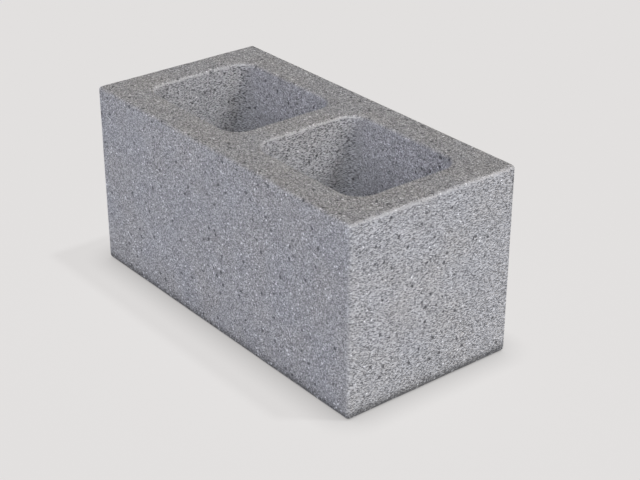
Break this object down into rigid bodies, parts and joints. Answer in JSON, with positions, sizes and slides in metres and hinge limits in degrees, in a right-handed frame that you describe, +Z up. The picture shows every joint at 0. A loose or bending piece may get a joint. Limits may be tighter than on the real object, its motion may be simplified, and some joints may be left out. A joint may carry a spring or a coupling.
{
  "type": "concrete block",
  "caption": "Hollow rectangular concrete building block with rounded edges and tapered cores running through it from bed to bed, laid in mortar to build walls.",
  "frame": {"origin": "middle of the lower bed face, where the block stands", "axes": "+X along the block's length, +Y through the wall's thickness, +Z up to the upper bed face"},
  "size_m": [0.39, 0.19, 0.19],
  "materials": {
    "concrete": "matte"
  },
  "bodies": {
    "root": {"concrete_block": "concrete"}
  },
  "joints": []
}
